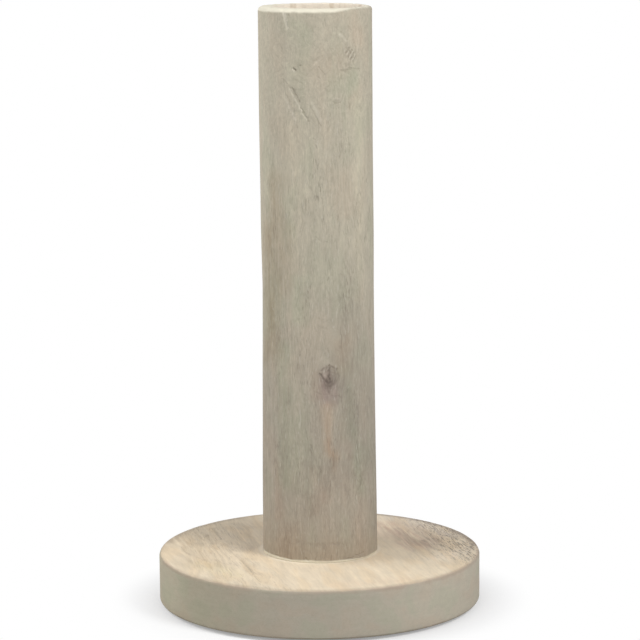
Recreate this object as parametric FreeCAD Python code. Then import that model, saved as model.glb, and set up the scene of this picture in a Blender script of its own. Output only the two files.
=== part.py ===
"""Candle stand: a turned wooden post on a round base, with a candle cup and a pricket in the post's top.

Millimetres. +Z is up, and Z is the axis of the base and the post. Z = 0 is the table under the felt pads.
The stand comes apart as base, post, the screw and washer that hold them, two dowels that stop the post
turning, the drip plate and the pricket in the cup, and four felt pads under the base.
"""

import FreeCAD
import Part

import math
import os

Vector = FreeCAD.Vector

# Base: a flat disc turned from one board, with the sharpness taken off both edges by a narrow bevel.
BASE_DIAMETER = 144.0
BASE_THICKNESS = 21.5
BASE_TOP_BEVEL = 1.2
BASE_BOTTOM_BEVEL = 1.0

# Candle cup: a flat-bottomed bore in the top of the post. It is bored off the post's axis, towards +X,
# so the wall that is left round it is wide on one side and narrow on the other.
CUP_DIAMETER = 40.2
CUP_DEPTH = 24.0
CUP_NARROW_WALL = 3.4
CUP_WIDE_WALL = 6.0
CUP_MOUTH_BEVEL = 0.6

# Post: its top is the cup and its walls. Below, it narrows to a slight waist, then swells to the foot.
POST_HEIGHT = 243.5
WAIST_NARROWER = 0.4
SWELL_WIDER = 0.9
FOOT_WIDER = 1.8
WAIST_HEIGHT_SHARE = 0.66
SWELL_HEIGHT_SHARE = 0.2
POST_RIM_RADIUS = 2.0
POST_FOOT_BEVEL = 0.5

# Drip plate: a thin pressed steel pan on the floor of the cup, with a low rim that flares out.
PLATE_THICKNESS = 0.8
PLATE_RIM_HEIGHT = 3.0
PLATE_RIM_FLARE = 2.0
PLATE_SIDE_GAP = 0.4

# Pricket: a turned steel spike with a collar that clamps the plate, and a shank screwed into the post.
SPIKE_DIAMETER = 4.0
SPIKE_STRAIGHT_LENGTH = 6.0
SPIKE_BELOW_RIM = 3.5
SPIKE_TIP_DIAMETER = 0.6
COLLAR_DIAMETER = 9.0
COLLAR_THICKNESS = 1.6
COLLAR_BEVEL = 0.4
SHANK_DIAMETER = 3.6
SHANK_LENGTH = 18.0
SHANK_POINT_LENGTH = 3.0
SHANK_POINT_DIAMETER = 0.8

# Post screw: a pan-head screw with a hexagon socket, up through the base into the end grain of the post.
SCREW_DIAMETER = 6.0
SCREW_BITE = 42.0
SCREW_POINT_LENGTH = 7.0
SCREW_POINT_DIAMETER = 1.0
HEAD_DIAMETER = 13.0
HEAD_HEIGHT = 4.0
HEAD_BEVEL_HEIGHT = 1.6
HEAD_BEVEL_WIDTH = 2.6
HEAD_SUNK_DEPTH = 1.6
SOCKET_FLATS = 5.0
SOCKET_DEPTH = 2.4
SOCKET_SIDES = 6

# Washer under the screw's head, and the counterbore that takes both.
WASHER_DIAMETER = 18.0
WASHER_THICKNESS = 1.6
COUNTERBORE_SIDE_GAP = 1.5

# Dowels: two bevelled beech pins beside the screw, set by the wood left outside them in the post's foot.
DOWEL_DIAMETER = 8.0
DOWEL_SIDE_WALL = 6.7
DOWEL_IN_BASE = 10.0
DOWEL_IN_POST = 18.0
DOWEL_BEVEL = 0.8

# Felt pads, stuck flat to the underside of the base.
PAD_DIAMETER = 18.0
PAD_THICKNESS = 1.5
PAD_EDGE_MARGIN = 7.0
PAD_COUNT = 4
PAD_FIRST_ANGLE = 45.0

# Fits. A drilled hole is larger all round than what it takes by the gap, and deeper by the end gap.
DRILL_GAP = 0.1
PASS_GAP = 0.2
HOLE_END_GAP = 1.0
CUT_OVERRUN = 2.0

# Radii and heights that follow from the sizes above.
base_radius = BASE_DIAMETER / 2
cup_radius = CUP_DIAMETER / 2
cup_offset = (CUP_WIDE_WALL - CUP_NARROW_WALL) / 2
post_top_radius = (CUP_DIAMETER + CUP_WIDE_WALL + CUP_NARROW_WALL) / 2
post_foot_radius = post_top_radius + FOOT_WIDER / 2
base_bottom = PAD_THICKNESS
base_top = base_bottom + BASE_THICKNESS
post_top = base_top + POST_HEIGHT
cup_floor = post_top - CUP_DEPTH
collar_bottom = cup_floor + PLATE_THICKNESS
collar_top = collar_bottom + COLLAR_THICKNESS
spike_tip = post_top - SPIKE_BELOW_RIM
shank_end = collar_bottom - SHANK_LENGTH
head_bottom = base_bottom + HEAD_SUNK_DEPTH
washer_bottom = head_bottom + HEAD_HEIGHT
washer_top = washer_bottom + WASHER_THICKNESS
screw_end = base_top + SCREW_BITE
dowel_bottom = base_top - DOWEL_IN_BASE
dowel_top = base_top + DOWEL_IN_POST


def point(radius, height):
    """A corner of a half outline: its distance from the turning axis, and its height."""
    return Vector(radius, 0, height)


def straight(*corners):
    """The straight edges that join the corners in order."""
    return [Part.makeLine(start, end) for start, end in zip(corners, corners[1:])]


def quarter_arc(start, end, centre):
    """The short arc from start to end about a centre that is as far from both."""
    radius = (start - centre).Length
    middle = centre + ((start + end) / 2 - centre).normalize() * radius
    return [Part.Arc(start, middle, end).toShape()]


def turned(edges, x=0.0):
    """The solid that a closed half outline makes as it turns once about an upright axis at x."""
    face = Part.Face(Part.Wire(edges))
    solid = face.revolve(Vector(0, 0, 0), Vector(0, 0, 1), 360)
    solid.translate(Vector(x, 0, 0))
    return solid


def cylinder(diameter, bottom, top, x=0.0):
    return Part.makeCylinder(diameter / 2, top - bottom, Vector(x, 0, bottom))


def dowel_places():
    """The dowels' distances along X, left then right."""
    reach = post_foot_radius - DOWEL_SIDE_WALL - DOWEL_DIAMETER / 2
    return -reach, reach


def pad_places():
    """The pads' centres, evenly spaced round a circle that keeps them clear of the base's edge."""
    circle_radius = base_radius - PAD_EDGE_MARGIN - PAD_DIAMETER / 2
    first = math.radians(PAD_FIRST_ANGLE)
    angles = [first + 2 * math.pi * index / PAD_COUNT for index in range(PAD_COUNT)]
    return [(circle_radius * math.cos(angle), circle_radius * math.sin(angle)) for angle in angles]


def make_base_disc():
    """The disc, less the screw's counterbore and passage from below and the dowel sockets from above."""
    under_centre = point(0, base_bottom)
    corners = [
        under_centre,
        point(base_radius - BASE_BOTTOM_BEVEL, base_bottom),
        point(base_radius, base_bottom + BASE_BOTTOM_BEVEL),
        point(base_radius, base_top - BASE_TOP_BEVEL),
        point(base_radius - BASE_TOP_BEVEL, base_top),
        point(0, base_top),
        under_centre,
    ]
    counterbore_diameter = WASHER_DIAMETER + 2 * COUNTERBORE_SIDE_GAP
    cuts = [
        cylinder(counterbore_diameter, base_bottom - CUT_OVERRUN, washer_top),
        cylinder(SCREW_DIAMETER + 2 * PASS_GAP, base_bottom - CUT_OVERRUN, base_top + CUT_OVERRUN),
    ]
    for x in dowel_places():
        socket_bottom = dowel_bottom - HOLE_END_GAP
        cuts.append(cylinder(DOWEL_DIAMETER + 2 * DRILL_GAP, socket_bottom, base_top + CUT_OVERRUN, x))
    return turned(straight(*corners)).cut(cuts)


def make_post_blank():
    """The post as it leaves the lathe: foot, swell, waist and rounded rim, with no holes."""
    foot_rim = point(post_foot_radius - POST_FOOT_BEVEL, base_top)
    side_foot = point(post_foot_radius, base_top + POST_FOOT_BEVEL)
    swell = point(post_top_radius + SWELL_WIDER / 2, base_top + POST_HEIGHT * SWELL_HEIGHT_SHARE)
    waist = point(post_top_radius - WAIST_NARROWER / 2, base_top + POST_HEIGHT * WAIST_HEIGHT_SHARE)
    side_head = point(post_top_radius, post_top - POST_RIM_RADIUS)
    top_rim = point(post_top_radius - POST_RIM_RADIUS, post_top)
    round_centre = point(post_top_radius - POST_RIM_RADIUS, post_top - POST_RIM_RADIUS)
    foot_centre = point(0, base_top)
    side = Part.BSplineCurve()
    side.interpolate([side_foot, swell, waist, side_head])
    return turned(
        straight(foot_centre, foot_rim, side_foot)
        + [side.toShape()]
        + quarter_arc(side_head, top_rim, round_centre)
        + straight(top_rim, point(0, post_top), foot_centre))


def make_cup_bore():
    """What the boring bit and the bevel at the mouth take out of the top of the post."""
    above = post_top + CUT_OVERRUN
    mouth_radius = cup_radius + CUP_MOUTH_BEVEL
    floor_centre = point(0, cup_floor)
    corners = [
        floor_centre,
        point(cup_radius, cup_floor),
        point(cup_radius, post_top - CUP_MOUTH_BEVEL),
        point(mouth_radius, post_top),
        point(mouth_radius, above),
        point(0, above),
        floor_centre,
    ]
    return turned(straight(*corners), cup_offset)


def make_post():
    """The blank, less the cup and the pricket's pilot hole above, and the screw and dowel holes below."""
    pilot_bottom = shank_end - HOLE_END_GAP
    cuts = [
        make_cup_bore(),
        cylinder(SHANK_DIAMETER + 2 * DRILL_GAP, pilot_bottom, cup_floor + CUT_OVERRUN, cup_offset),
        cylinder(SCREW_DIAMETER + 2 * DRILL_GAP, base_top - CUT_OVERRUN, screw_end + HOLE_END_GAP),
    ]
    for x in dowel_places():
        socket_top = dowel_top + HOLE_END_GAP
        cuts.append(cylinder(DOWEL_DIAMETER + 2 * DRILL_GAP, base_top - CUT_OVERRUN, socket_top, x))
    return make_post_blank().cut(cuts)


def make_drip_plate():
    """A pan of even thickness, with a hole for the pricket's shank and a flaring rim."""
    hole_radius = SHANK_DIAMETER / 2 + PASS_GAP
    lip_radius = cup_radius - PLATE_SIDE_GAP
    floor_radius = lip_radius - PLATE_RIM_FLARE
    lip = cup_floor + PLATE_RIM_HEIGHT
    floor_top = cup_floor + PLATE_THICKNESS
    lean = math.atan2(PLATE_RIM_FLARE, PLATE_RIM_HEIGHT)
    wall_width = PLATE_THICKNESS / math.cos(lean)
    inner_floor_radius = floor_radius + PLATE_THICKNESS * math.tan(lean) - wall_width
    under_hole = point(hole_radius, cup_floor)
    corners = [
        under_hole,
        point(floor_radius, cup_floor),
        point(lip_radius, lip),
        point(lip_radius - wall_width, lip),
        point(inner_floor_radius, floor_top),
        point(hole_radius, floor_top),
        under_hole,
    ]
    return turned(straight(*corners), cup_offset)


def make_pricket():
    """Spike, collar and pointed shank, turned from one bar."""
    spike_radius = SPIKE_DIAMETER / 2
    collar_radius = COLLAR_DIAMETER / 2
    shank_radius = SHANK_DIAMETER / 2
    shank_tip = point(0, shank_end)
    corners = [
        shank_tip,
        point(SHANK_POINT_DIAMETER / 2, shank_end),
        point(shank_radius, shank_end + SHANK_POINT_LENGTH),
        point(shank_radius, collar_bottom),
        point(collar_radius, collar_bottom),
        point(collar_radius, collar_top - COLLAR_BEVEL),
        point(collar_radius - COLLAR_BEVEL, collar_top),
        point(spike_radius, collar_top),
        point(spike_radius, collar_top + SPIKE_STRAIGHT_LENGTH),
        point(SPIKE_TIP_DIAMETER / 2, spike_tip),
        point(0, spike_tip),
        shank_tip,
    ]
    return turned(straight(*corners), cup_offset)


def make_post_screw():
    """Head down: a bevelled pan head with a hexagon socket, a plain shank and a point."""
    head_radius = HEAD_DIAMETER / 2
    shank_radius = SCREW_DIAMETER / 2
    head_centre = point(0, head_bottom)
    outline = [
        head_centre,
        point(head_radius - HEAD_BEVEL_WIDTH, head_bottom),
        point(head_radius, head_bottom + HEAD_BEVEL_HEIGHT),
        point(head_radius, washer_bottom),
        point(shank_radius, washer_bottom),
        point(shank_radius, screw_end - SCREW_POINT_LENGTH),
        point(SCREW_POINT_DIAMETER / 2, screw_end),
        point(0, screw_end),
        head_centre,
    ]
    corner_radius = SOCKET_FLATS / 2 / math.cos(math.pi / SOCKET_SIDES)
    mouth = head_bottom - CUT_OVERRUN
    angles = [2 * math.pi * side / SOCKET_SIDES for side in range(SOCKET_SIDES + 1)]
    corners = [
        Vector(corner_radius * math.cos(angle), corner_radius * math.sin(angle), mouth) for angle in angles
    ]
    socket = Part.Face(Part.makePolygon(corners)).extrude(Vector(0, 0, CUT_OVERRUN + SOCKET_DEPTH))
    return turned(straight(*outline)).cut(socket)


def make_screw_washer():
    hole = cylinder(SCREW_DIAMETER + 2 * PASS_GAP, washer_bottom - CUT_OVERRUN, washer_top + CUT_OVERRUN)
    return cylinder(WASHER_DIAMETER, washer_bottom, washer_top).cut(hole)


def make_dowel(x):
    """A pin with bevelled ends, standing at x in its two sockets."""
    radius = DOWEL_DIAMETER / 2
    bottom_centre = point(0, dowel_bottom)
    corners = [
        bottom_centre,
        point(radius - DOWEL_BEVEL, dowel_bottom),
        point(radius, dowel_bottom + DOWEL_BEVEL),
        point(radius, dowel_top - DOWEL_BEVEL),
        point(radius - DOWEL_BEVEL, dowel_top),
        point(0, dowel_top),
        bottom_centre,
    ]
    return turned(straight(*corners), x)


def make_felt_pad(x, y):
    return Part.makeCylinder(PAD_DIAMETER / 2, PAD_THICKNESS, Vector(x, y, 0))


def make_all():
    """Every piece of the stand by its name."""
    left, right = dowel_places()
    pieces = {
        "base_disc": make_base_disc(),
        "post": make_post(),
        "post_screw": make_post_screw(),
        "screw_washer": make_screw_washer(),
        "dowel_left": make_dowel(left),
        "dowel_right": make_dowel(right),
        "drip_plate": make_drip_plate(),
        "pricket": make_pricket(),
    }
    for number, (x, y) in enumerate(pad_places(), start=1):
        pieces[f"felt_pad_{number}"] = make_felt_pad(x, y)
    return pieces


def main():
    os.makedirs("parts", exist_ok=True)
    for name, shape in make_all().items():
        solids = shape.Solids
        if len(solids) != 1 or not solids[0].isValid():
            raise ValueError(f"{name} is not one sound solid")
        solids[0].exportStep(f"parts/{name}.step")
        box = solids[0].optimalBoundingBox(False)
        print(f"{name}: {box.XLength:.1f} x {box.YLength:.1f} x {box.ZLength:.1f} mm")


main()
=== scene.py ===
"""Candle stand: its whitewashed post and base, the steel in its cup, its screw and dowels, and its felt pads.

Metres. +Z is up, and the axis of the base and the post is Z. The photograph looks along +Y.
"""

import math
from collections import namedtuple

import bmesh
import bpy
import numpy as np
from bpy.props import FloatProperty, FloatVectorProperty, IntProperty, PointerProperty
from mathutils import Matrix, Vector


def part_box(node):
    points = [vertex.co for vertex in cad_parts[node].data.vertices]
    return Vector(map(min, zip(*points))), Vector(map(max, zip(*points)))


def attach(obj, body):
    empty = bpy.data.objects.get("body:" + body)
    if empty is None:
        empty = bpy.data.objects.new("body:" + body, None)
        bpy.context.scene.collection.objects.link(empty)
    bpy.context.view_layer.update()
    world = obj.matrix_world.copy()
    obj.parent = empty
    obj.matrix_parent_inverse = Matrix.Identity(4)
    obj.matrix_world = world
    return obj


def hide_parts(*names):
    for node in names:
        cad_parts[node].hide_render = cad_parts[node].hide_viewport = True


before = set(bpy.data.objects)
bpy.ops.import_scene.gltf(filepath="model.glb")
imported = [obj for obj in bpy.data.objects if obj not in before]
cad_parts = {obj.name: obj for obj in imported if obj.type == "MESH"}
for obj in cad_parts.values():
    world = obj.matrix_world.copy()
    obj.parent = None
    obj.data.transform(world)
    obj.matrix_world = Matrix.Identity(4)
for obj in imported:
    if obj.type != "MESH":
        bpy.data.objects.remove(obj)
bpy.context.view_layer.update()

bl_info = {
    "name": "Candle stand",
    "version": (1, 0, 0),
    "blender": (4, 5, 0),
    "location": "3D View > Sidebar > Candle stand",
    "description": "Models and finishes a turned wooden candle stand round its packed solids",
    "category": "Object",
}

MM = 0.001
BODY = "root"

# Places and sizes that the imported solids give.
base_low, base_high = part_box("base_disc")
post_low, post_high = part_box("post")
plate_low, plate_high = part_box("drip_plate")
pricket_low, pricket_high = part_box("pricket")
screw_low, screw_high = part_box("post_screw")
washer_low, washer_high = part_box("screw_washer")
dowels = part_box("dowel_left"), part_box("dowel_right")
cup_axis = (plate_low.x + plate_high.x) / 2
POST_FOOT, POST_HEAD = post_low.z / MM, post_high.z / MM
BASE_TOP = base_high.z / MM
BASE_RADIUS = base_high.x / MM

# Radii of the pricket's threaded shank and of the holes in the wood.
PRICKET_SHANK = 1.8 * MM
SCREW_PILOT = 3.1 * MM
SCREW_PASSAGE = 3.2 * MM
DOWEL_SOCKET = 4.1 * MM
COUNTERBORE = 10.5 * MM
# Points of a thread that are nearer than this are one.
WELD = 0.01 * MM
# A dowel's flutes start this many facets apart.
FLUTE_FACETS = 4

# The edges of marks, stains and patches of painted light and shade are ragged: the size of the waves in them,
# and how far these reach.
RAGGED_SIZE, RAGGED_REACH = 2.4, 0.22
SPREAD_SIZE, SPREAD_REACH = 19.0, 1.6
# A mark is whole up to so many half widths from its line, and its depth and its shade end at so many.
WHOLE, DEPTH_END, SHADE_END = 0.2, 1.2, 1.7
# A stain, and a patch of painted light or shade, fades out at this many half widths from its line.
PATCH_END = 1.5
# The spacing of a knot's rings.
KNOT_RINGS = 1.25
# Faces are divided finely up to this many half widths and this many more millimetres from a mark's line.
FINE_WIDTHS, FINE_MARGIN = 1.3, 0.7
# A vertex with a smaller weight than this isn't moved.
LEAST_WEIGHT = 0.004

# The gloss of the washed wood, and its colour where the wash is rubbed thin, which also paints the pale glow
# of light round the post's foot.
WOOD_GLOSS = {"Specular IOR Level": 0.22}
RUBBED_AND_LIT = (0.86, 0.79, 0.66)

# The post's side: share of its height, radius and place of its axis along X, from the foot to the rim.
# The turning has a slight waist at half its height and a slight bow.
POST_SIDE = (
    (0.0, 25.75 * MM, 0.40 * MM),
    (0.12, 25.50 * MM, 0.30 * MM),
    (0.3, 25.0 * MM, 0.22 * MM),
    (0.5, 24.62 * MM, 0.24 * MM),
    (0.6, 24.88 * MM, 0.04 * MM),
    (0.75, 24.9 * MM, -0.2 * MM),
    (1.0, 24.9 * MM, -0.33 * MM),
)
# A mark on the post is placed by its arc to the right from the front, on this radius, and by its height.
POST_ARC_RADIUS = 24.9

# Each mark gives half its width, its depth and its shade, and then the points that it runs through, in
# millimetres. The shade is how strongly it darkens the wood, and below zero it leaves the wood pale.
Mark = namedtuple("Mark", "half_width depth shade points")
POST_MARKS = [Mark(half_width, depth, shade, points) for half_width, depth, shade, *points in (
    # A crack runs down from the rim, filled with pale wash.
    (0.86, 0.24, -0.85, (-15.4, 266.2), (-14.2, 264.2), (-13.6, 261.8)),
    (0.62, 0.18, -0.56, (-13.6, 261.8), (-13.2, 260.2), (-12.6, 258.4)),
    (0.4, 0.14, 0.42, (-12, 265), (-11.7, 263.4)),
    # Two small pits, the larger one a gouge with a pale lip that is a painted highlight.
    (0.36, 0.45, 0.85, (-9.9, 241.5), (-9.1, 240.6)),
    (0.26, 0.3, 0.55, (-7.2, 242.4), (-6.7, 242.3)),
    (0.34, 0, -0.9, (-10.4, 240.6), (-9.8, 239.8)),
    (0.26, 0.12, 0.25, (-11.2, 241.6), (-10.9, 240.8)),
    # A chisel groove slants down from the left. The pale lines beside it are a painted highlight on its lip,
    # and the broad dark band along it is painted shade on its far side.
    (0.36, 0.16, 0.16, (-15.4, 236.6), (-13.2, 234.6), (-11.2, 232.2)),
    (0.5, 0.32, 0.44, (-10.6, 232.6), (-8.8, 229.6), (-7.3, 226.8)),
    (1.5, 0.1, 0.21, (-9.4, 231), (-7.6, 227.4), (-5.4, 223.6)),
    (0.6, 0.26, 0.32, (-6.6, 224), (-5, 221), (-3.4, 218.6)),
    (0.46, 0, -0.46, (-11.8, 232.2), (-9.9, 229), (-8, 225.6), (-6.6, 223)),
    (0.46, 0, -0.36, (-6.2, 222), (-4.4, 219)),
    (0.6, 0, -0.36, (-14.2, 228.6), (-11.6, 223.6), (-9.4, 219.2)),
    (0.5, 0.1, 0.18, (-12.8, 228.6), (-10.4, 223.6)),
    (1.4, 0.05, 0.14, (-6.8, 227.6), (-4.4, 222.6)),
    (0.5, 0.16, 0.22, (-2.6, 225), (-1, 221.6), (0.5, 218.6), (1.6, 216.4)),
    (0.6, 0, -0.34, (-2, 226.8), (-0.2, 222.8), (1.7, 218.6)),
    (0.28, 0.18, 0.28, (7, 226.8), (9.2, 225.8), (10.8, 226.6)),
    (0.26, 0, -0.28, (7.4, 228.2), (10.4, 228)),
    # Crossed scratches at the upper right, above a ledge; the pale strokes beside the dark ones are painted
    # highlight on their edges.
    (0.5, 0.2, 0.56, (13.6, 247.6), (15.3, 249.6)),
    (0.5, 0.2, 0.62, (14.8, 246), (16.8, 248.6)),
    (0.5, 0.2, 0.62, (16, 244.6), (18, 247.2)),
    (0.5, 0.18, 0.5, (17.3, 243.4), (19.2, 246)),
    (0.34, 0, -0.4, (14.2, 246.8), (16.1, 249.2)),
    (0.34, 0, -0.4, (15.4, 245.3), (17.4, 247.9)),
    (0.34, 0, -0.36, (16.7, 244), (18.6, 246.6)),
    (0.4, 0.14, 0.5, (14.4, 249.4), (18.8, 244.4)),
    (0.7, 0.1, 0.24, (17.6, 252.6), (18.6, 249.6), (19, 246.8)),
    (0.4, 0.12, 0.2, (13.6, 249.6), (15, 247.4), (16.4, 245.6)),
    (0.36, 0, -0.26, (13, 249), (15.2, 245.8)),
    (0.6, 0.14, 0.18, (21.2, 257), (22.4, 252), (21, 248), (19, 244.8)),
    (0.5, 0, -0.22, (20, 256), (21.2, 251.6), (19.9, 248.2)),
    (0.55, 0.1, 0.16, (11.4, 250.8), (12, 247.6), (13.6, 245)),
    (0.45, 0, -0.26, (12.2, 251.4), (12.8, 248.4)),
    (0.45, 0.12, 0.22, (10.8, 256.9), (12.6, 255.4), (14.4, 253.2)),
    (0.4, 0, -0.4, (10.6, 255.6), (12.2, 254.4), (13.6, 252.6)),
    (0.4, 0.14, 0.26, (8.6, 258.4), (9.8, 257.2)),
    (0.45, 0.1, 0.14, (14.6, 259), (16.4, 257)),
    (0.45, 0.1, 0.18, (15.6, 243), (13.4, 241.8)),
    (0.45, 0.1, 0.18, (22, 244.6), (23.2, 248.4)),
    (0.5, 0.1, 0.16, (-2, 243), (0.4, 245.4), (2.6, 246.4)),
    (0.45, 0, -0.24, (-1.4, 242.2), (1.6, 244.8)),
    (0.5, 0.1, 0.18, (-12, 252.6), (-11.2, 249)),
    (0.45, 0.08, 0.14, (-5.6, 254.6), (-4.6, 251.6)),
    (0.45, 0.08, 0.14, (2.4, 251.6), (3, 248.6)),
    (0.55, 0.08, 0.15, (3.4, 232.4), (5.4, 231)),
    (0.5, 0.08, 0.13, (-9, 236), (-6.2, 234.6)),
    (0.5, 0.1, 0.15, (-18.6, 246.4), (-16, 243.6)),
    (0.6, 0.26, 0.34, (11, 240.2), (12.8, 239.7), (14.6, 240.4), (16.6, 240.8)),
    (0.5, 0.22, 0.28, (17.4, 240.8), (19.4, 240), (21.6, 240.2)),
    (0.3, 0.12, 0.2, (11.2, 239.2), (11, 236.2)),
    (0.34, 0.1, 0.16, (14, 235.8), (17.4, 232.4)),
    # Small marks between them.
    (0.34, 0.16, 0.24, (-16.8, 251.4), (-15.6, 249.6)),
    (0.26, 0, -0.3, (-7.4, 251.6), (-6.4, 251.2)),
    (0.3, 0.16, 0.22, (1, 241.8), (2.6, 239.6), (3.8, 238.4)),
    (0.28, 0.12, 0.2, (0.2, 238), (2, 236.8)),
    (0.4, 0.1, 0.16, (-14.2, 231), (-13.4, 228.2)),
    (0.3, 0.12, 0.22, (-11.8, 224.6), (-11, 221)),
    (0.3, 0.12, 0.22, (14.8, 226.4), (15.4, 223.2)),
    # Small pits and short open grain down the front.
    (0.32, 0.2, 0.36, (-0.5, 208), (-0.1, 206.9)),
    (0.28, 0.16, 0.3, (-1.3, 211), (-0.7, 210.2)),
    (0.28, 0.1, 0.24, (10.6, 215.4), (11, 211)),
    (0.3, 0.14, 0.26, (-2.9, 190.4), (-2.6, 189.2)),
    (0.3, 0.16, 0.3, (1.2, 190), (1.5, 188.2)),
    (0.26, 0.12, 0.26, (0.2, 186), (0.4, 183.6)),
    (0.28, 0.14, 0.28, (2, 185.4), (2.4, 182.6)),
    (0.28, 0.14, 0.26, (8.8, 177.2), (9.2, 174.2)),
    (0.34, 0.1, 0.2, (2, 176), (2.4, 171.4)),
    (0.32, 0.1, 0.24, (-14.6, 181.4), (-14.2, 176.4)),
    (0.3, 0.1, 0.18, (-1, 168.4), (2.4, 165.8), (4.2, 166.2)),
    # Figure like ruffled feathers, to the right above the knot.
    (0.85, 0.1, 0.17, (10.2, 151.4), (12.6, 149.6), (13.4, 147)),
    (0.8, 0.1, 0.16, (14.2, 152), (15.6, 149.4)),
    (0.8, 0.12, 0.19, (9.4, 140.2), (12, 141.6), (14.8, 140.6), (16.4, 138.2)),
    (0.8, 0.1, 0.17, (11.4, 136.6), (13.8, 134.2)),
    (0.7, 0.1, 0.17, (0.4, 132.4), (2.6, 131), (5.2, 131.8)),
    (0.7, 0.1, 0.17, (0.2, 129), (3.4, 127.9)),
    (0.6, 0.12, 0.28, (4.2, 119), (4.8, 114.6)),
    # The knot's cracks and rings, and the wrinkle under it.
    (0.62, 0.4, 0.8, (4.9, 111.4), (4.7, 107.5), (4.8, 104.2)),
    (1, 0.3, 0.56, (4.8, 105), (4.5, 102.2), (4.3, 100.2)),
    (0.72, 0.34, 0.72, (0.7, 108), (2.2, 105.9), (4.3, 103.4)),
    (0.52, 0.16, 0.56, (1.6, 109.6), (3.2, 110.8), (6, 111), (8.2, 110)),
    (0.6, 0.14, 0.48, (8.2, 109.6), (8.9, 106.6), (7.8, 104), (5.6, 102.9)),
    (0.34, 0.12, 0.36, (6.9, 109.8), (6.8, 104.6)),
    (0.32, 0.1, 0.3, (5.2, 108.1), (8.2, 107.7)),
    (0.34, 0.1, 0.36, (5.2, 106), (8.4, 105.6)),
    (0.55, 0, -0.34, (2.4, 109), (2.9, 106.8)),
    (0.5, 0.1, 0.36, (5.9, 103.6), (7.6, 102)),
    (0.5, 0.1, 0.34, (3.6, 102.6), (2.4, 100.6)),
    (0.4, 0.1, 0.2, (-1, 99.6), (2, 98.6), (5, 98.9)),
    (0.44, 0.12, 0.28, (6.2, 97.9), (8.6, 97.8), (10.6, 96.8)),
    # Dark open grain low on the post.
    (0.5, 0.1, 0.3, (-6, 98.8), (-6.2, 93)),
    (0.4, 0.08, 0.2, (-8.8, 112), (-9, 108.2)),
    (0.32, 0.08, 0.2, (-18.8, 108), (-18.9, 97)),
    (0.7, 0.1, 0.34, (-3.3, 76), (-3.2, 64)),
    (0.36, 0.1, 0.26, (-18.8, 78.4), (-18.6, 70.4)),
    (0.46, 0.1, 0.28, (6.7, 79), (6.4, 66.7)),
    (0.32, 0.12, 0.26, (18.4, 89.5), (18.7, 80), (18.5, 71)),
    (0.34, 0.1, 0.22, (10.6, 92.6), (11.4, 90.8), (12.4, 91.6)),
    (0.32, 0.12, 0.38, (20.4, 62.4), (20.6, 56.8)),
    (0.4, 0.1, 0.22, (4.8, 60), (4.6, 54.4)),
    (0.36, 0.1, 0.24, (11.6, 58), (11.9, 53)),
    (0.32, 0.1, 0.24, (-9.9, 49.8), (-10, 43.4)),
    (0.42, 0.08, 0.2, (14.4, 38), (14.6, 34)),
    (0.42, 0.08, 0.2, (-12.8, 36.2), (-12.2, 33)),
    # A broken, blurred line round the foot.
    (1, 0.05, 0.25, (-5, 31.8), (-2, 31.3)),
    (1, 0.05, 0.22, (-0.6, 31.4), (2.4, 31.2)),
    (0.9, 0.06, 0.27, (4.6, 31.8), (8.6, 31.5), (11, 30.4)),
    (0.9, 0.05, 0.16, (-12, 32.6), (-9, 32.2)),
    (0.46, 0.08, 0.26, (16.7, 40.4), (16.6, 36.2)),
    (0.5, 0.05, 0.16, (-14, 31.4), (-10.8, 31)),
    # Chips and flats along the foot.
    (0.42, 0.24, 0.26, (-21.4, 24.6), (-18.4, 24.1)),
    (0.38, 0.18, 0.2, (-16.2, 24.2), (-12.2, 23.9)),
    (0.5, 0.24, 0.34, (-6, 25.2), (-4.8, 23.9)),
    (0.38, 0.22, 0.26, (12.2, 24.1), (15.2, 24.6)),
    (0.4, 0.2, 0.24, (16.4, 25.4), (19, 25), (21, 25.8)),
    # The back is worn like the front.
    (0.36, 0.28, 0.36, (66, 250), (69.5, 243), (71.5, 236)),
    (0.34, 0.2, 0.26, (52, 246.4), (55, 243.2), (58.4, 241.8)),
    (0.34, 0.14, 0.28, (84, 171), (83.4, 160)),
    (0.36, 0.24, 0.36, (-62, 201), (-60.6, 195)),
    (0.4, 0.12, 0.26, (-48, 88), (-48.4, 74)),
    (0.4, 0.12, 0.26, (44, 140), (43.4, 128)),
    (0.34, 0.12, 0.26, (30.6, 214), (31.4, 203)),
    (0.36, 0.12, 0.24, (-30.4, 170), (-31, 158)),
    (0.4, 0.12, 0.26, (58, 84), (57.6, 70)),
    (0.42, 0.16, 0.34, (-76.4, 130), (-73.4, 132.6), (-70.2, 130.4)),
    (0.6, 0.34, 0.56, (-73.2, 133), (-73, 123.4)),
    (0.5, 0.26, 0.44, (-76.2, 126.6), (-73.4, 124)),
)]
KNOTS = ((5.0, 105.8), (-73.0, 128.4))
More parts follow.
